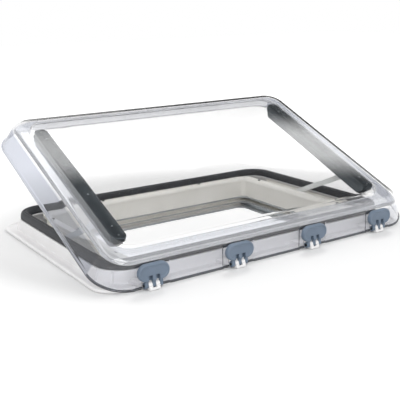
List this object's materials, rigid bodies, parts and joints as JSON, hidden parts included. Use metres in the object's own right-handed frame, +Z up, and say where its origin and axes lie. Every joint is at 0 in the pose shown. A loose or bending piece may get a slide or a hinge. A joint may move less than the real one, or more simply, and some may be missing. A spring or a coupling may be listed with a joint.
{
  "type": "caravan roof vent",
  "caption": "Hinged roof vent with a clear double dome lifted by side arms from a hand crank, and a pleated blackout blind and flyscreen in its inner frame.",
  "frame": {"origin": "centre of the rectangular roof cut-out, on the outer roof surface", "axes": "+X along the long side, +Y from the hinge side to the opening side, +Z up, out of the roof"},
  "size_m": [0.856, 0.6206, 0.3704],
  "materials": {
    "frame_white": "satin moulded white",
    "liner_cream": "fine-grained cream",
    "seal_rubber": "matt extruded",
    "clear_acrylic": "clear, polished",
    "rail_anthracite": "satin anthracite",
    "cap_blue_grey": "satin blue-grey",
    "arm_grey": "satin light grey",
    "black_metal": "black coated",
    "steel": "zinc plated",
    "black_plastic": "smooth black",
    "bar_grey": "satin grey",
    "blind_cloth": "coated pleated cloth",
    "screen_mesh": "pleated insect mesh"
  },
  "bodies": {
    "frame": {"outer_frame": "frame_white", "roof_gasket": "seal_rubber", "rim_seal": "seal_rubber", "inner_liner": "liner_cream", "left_arm_track": "liner_cream", "right_arm_track": "liner_cream", "inner_frame": "liner_cream", "ceiling_trim": "frame_white", "roof_clamps": "steel", "clamp_screws": "steel", "frame_screws": "black_metal", "hinge_base_1": "frame_white", "hinge_base_2": "frame_white", "hinge_base_3": "frame_white", "hinge_base_4": "frame_white", "hinge_pin_1": "black_metal", "hinge_pin_2": "black_metal", "hinge_pin_3": "black_metal", "hinge_pin_4": "black_metal", "crank_gearbox": "liner_cream", "left_drive_cable": "black_plastic", "right_drive_cable": "black_plastic", "blackout_pleats": "blind_cloth", "flyscreen_pleats": "screen_mesh"},
    "dome": {"outer_dome": "clear_acrylic", "inner_pane": "clear_acrylic", "left_rail": "rail_anthracite", "right_rail": "rail_anthracite", "left_rail_screws": "steel", "right_rail_screws": "steel", "hinge_cover_1": "cap_blue_grey", "hinge_cover_2": "cap_blue_grey", "hinge_cover_3": "cap_blue_grey", "hinge_cover_4": "cap_blue_grey", "left_arm_bracket": "rail_anthracite", "right_arm_bracket": "rail_anthracite", "left_arm_pin": "steel", "right_arm_pin": "steel"},
    "left_lift_arm": {"left_arm": "arm_grey", "left_glide": "black_plastic"},
    "right_lift_arm": {"right_arm": "arm_grey", "right_glide": "black_plastic"},
    "blackout_blind": {"blackout_bar": "bar_grey", "blackout_grip": "bar_grey"},
    "flyscreen": {"flyscreen_bar": "bar_grey", "flyscreen_grip": "bar_grey"},
    "crank": {"crank_shaft": "steel", "drive_pinion": "steel", "crank_arm": "frame_white"},
    "knob": {"crank_knob": "rail_anthracite"}
  },
  "joints": [
    {"name": "dome_hinge", "type": "hinge", "parent": "frame", "child": "dome", "pos_m": [0, -0.2965, 0.01], "axis": [1, 0, 0], "range_deg": [-23, 37]},
    {"name": "left_arm_pivot", "type": "hinge", "parent": "dome", "child": "left_lift_arm", "pos_m": [-0.347, -0.12664, 0.09514], "axis": [1, 0, 0], "range_deg": [-75, 47]},
    {"name": "right_arm_pivot", "type": "hinge", "parent": "dome", "child": "right_lift_arm", "pos_m": [0.347, -0.12664, 0.09514], "axis": [1, 0, 0], "range_deg": [-75, 47]},
    {"name": "crank_turn", "type": "hinge", "parent": "frame", "child": "crank", "pos_m": [0, -0.2285, -0.06], "axis": [0, 0, 1], "range_deg": [-500, 800]},
    {"name": "knob_spin", "type": "hinge", "parent": "crank", "child": "knob", "pos_m": [0.062, -0.2285, -0.08], "axis": [0, 0, 1], "continuous": true},
    {"name": "blackout_slide", "type": "slide", "parent": "frame", "child": "blackout_blind", "axis": [-1, 0, 0], "range_m": [0, 0.6], "deforming": ["blackout_pleats"]},
    {"name": "flyscreen_slide", "type": "slide", "parent": "frame", "child": "flyscreen", "axis": [1, 0, 0], "range_m": [0, 0.6], "deforming": ["flyscreen_pleats"]}
  ],
  "couplings": [
    {"joint": "left_arm_pivot", "follows": "dome_hinge", "ratio": -2},
    {"joint": "right_arm_pivot", "follows": "dome_hinge", "ratio": -2},
    {"joint": "crank_turn", "follows": "dome_hinge", "ratio": 21.5}
  ]
}
